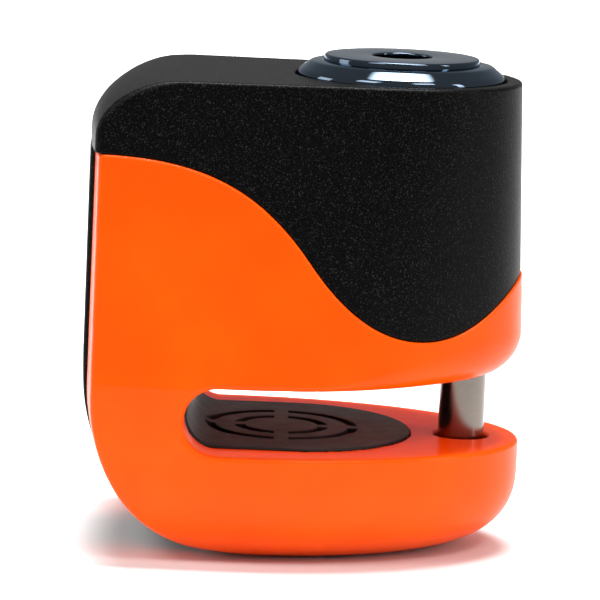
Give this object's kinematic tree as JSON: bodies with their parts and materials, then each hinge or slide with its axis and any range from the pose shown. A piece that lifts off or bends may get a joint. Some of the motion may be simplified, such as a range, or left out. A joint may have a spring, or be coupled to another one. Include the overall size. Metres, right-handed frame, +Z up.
{
  "type": "motorcycle disc brake lock",
  "caption": "Push-down brake disc lock: U-shaped metal body with a rubber-lined slot, a pop-up lock cylinder and a locking pin across the slot.",
  "frame": {"origin": "middle of the underside of the whole lock", "axes": "+X towards the open mouth of the slot, +Y across the jaws, +Z up along the lock cylinder towards the keyhole"},
  "size_m": [0.0572, 0.0454, 0.064],
  "materials": {
    "orange_paint": "gloss powder paint",
    "black_cover": "fine-grained satin black",
    "black_strip": "satin black",
    "liner_rubber": "matt moulded rubber",
    "seal_rubber": "matt",
    "dark_chrome": "dark blue-grey chrome",
    "plug_nickel": "satin nickel",
    "pin_steel": "ground steel",
    "bright_steel": "plain steel",
    "dark_steel": "blackened steel",
    "brass": "machined",
    "zinc_block": "plated zinc casting"
  },
  "bodies": {
    "housing": {"body_casting": "orange_paint", "top_cover": "black_cover", "spine_strip": "black_strip", "strip_screws": "dark_steel", "slot_liner": "liner_rubber", "pin_bush": "bright_steel", "pin_seat": "bright_steel", "dust_seal": "seal_rubber", "spring_post": "bright_steel", "return_spring": "bright_steel", "stop_pin": "bright_steel", "strike_plate": "bright_steel"},
    "cylinder": {"cylinder_block": "zinc_block", "bezel_cap": "dark_chrome", "face_disc": "dark_chrome", "drill_plate": "bright_steel", "cylinder_shell": "brass", "shell_screw": "dark_steel", "locking_pin": "pin_steel", "pin_dowel": "bright_steel", "latch_spring": "bright_steel"},
    "plug": {"key_plug": "brass", "plug_face": "plug_nickel", "code_discs": "brass", "disc_spacers": "bright_steel", "side_bar": "bright_steel", "plug_cam": "bright_steel", "plug_clip": "dark_steel"},
    "latch": {"latch_bolt": "bright_steel"}
  },
  "joints": [
    {"name": "cylinder_slide", "type": "slide", "parent": "housing", "child": "cylinder", "axis": [0, 0, 1], "range_m": [0, 0.0128], "deforming": ["return_spring"]},
    {"name": "plug_turn", "type": "hinge", "parent": "cylinder", "child": "plug", "pos_m": [0.0112, 0, 0.05], "axis": [0, 0, -1], "range_deg": [0, 90]},
    {"name": "latch_slide", "type": "slide", "parent": "cylinder", "child": "latch", "axis": [1, 0, 0], "range_m": [0, 0.0025], "deforming": ["latch_spring"]}
  ],
  "couplings": [
    {"joint": "plug_turn", "follows": "latch_slide", "rad_per_m": 628}
  ]
}
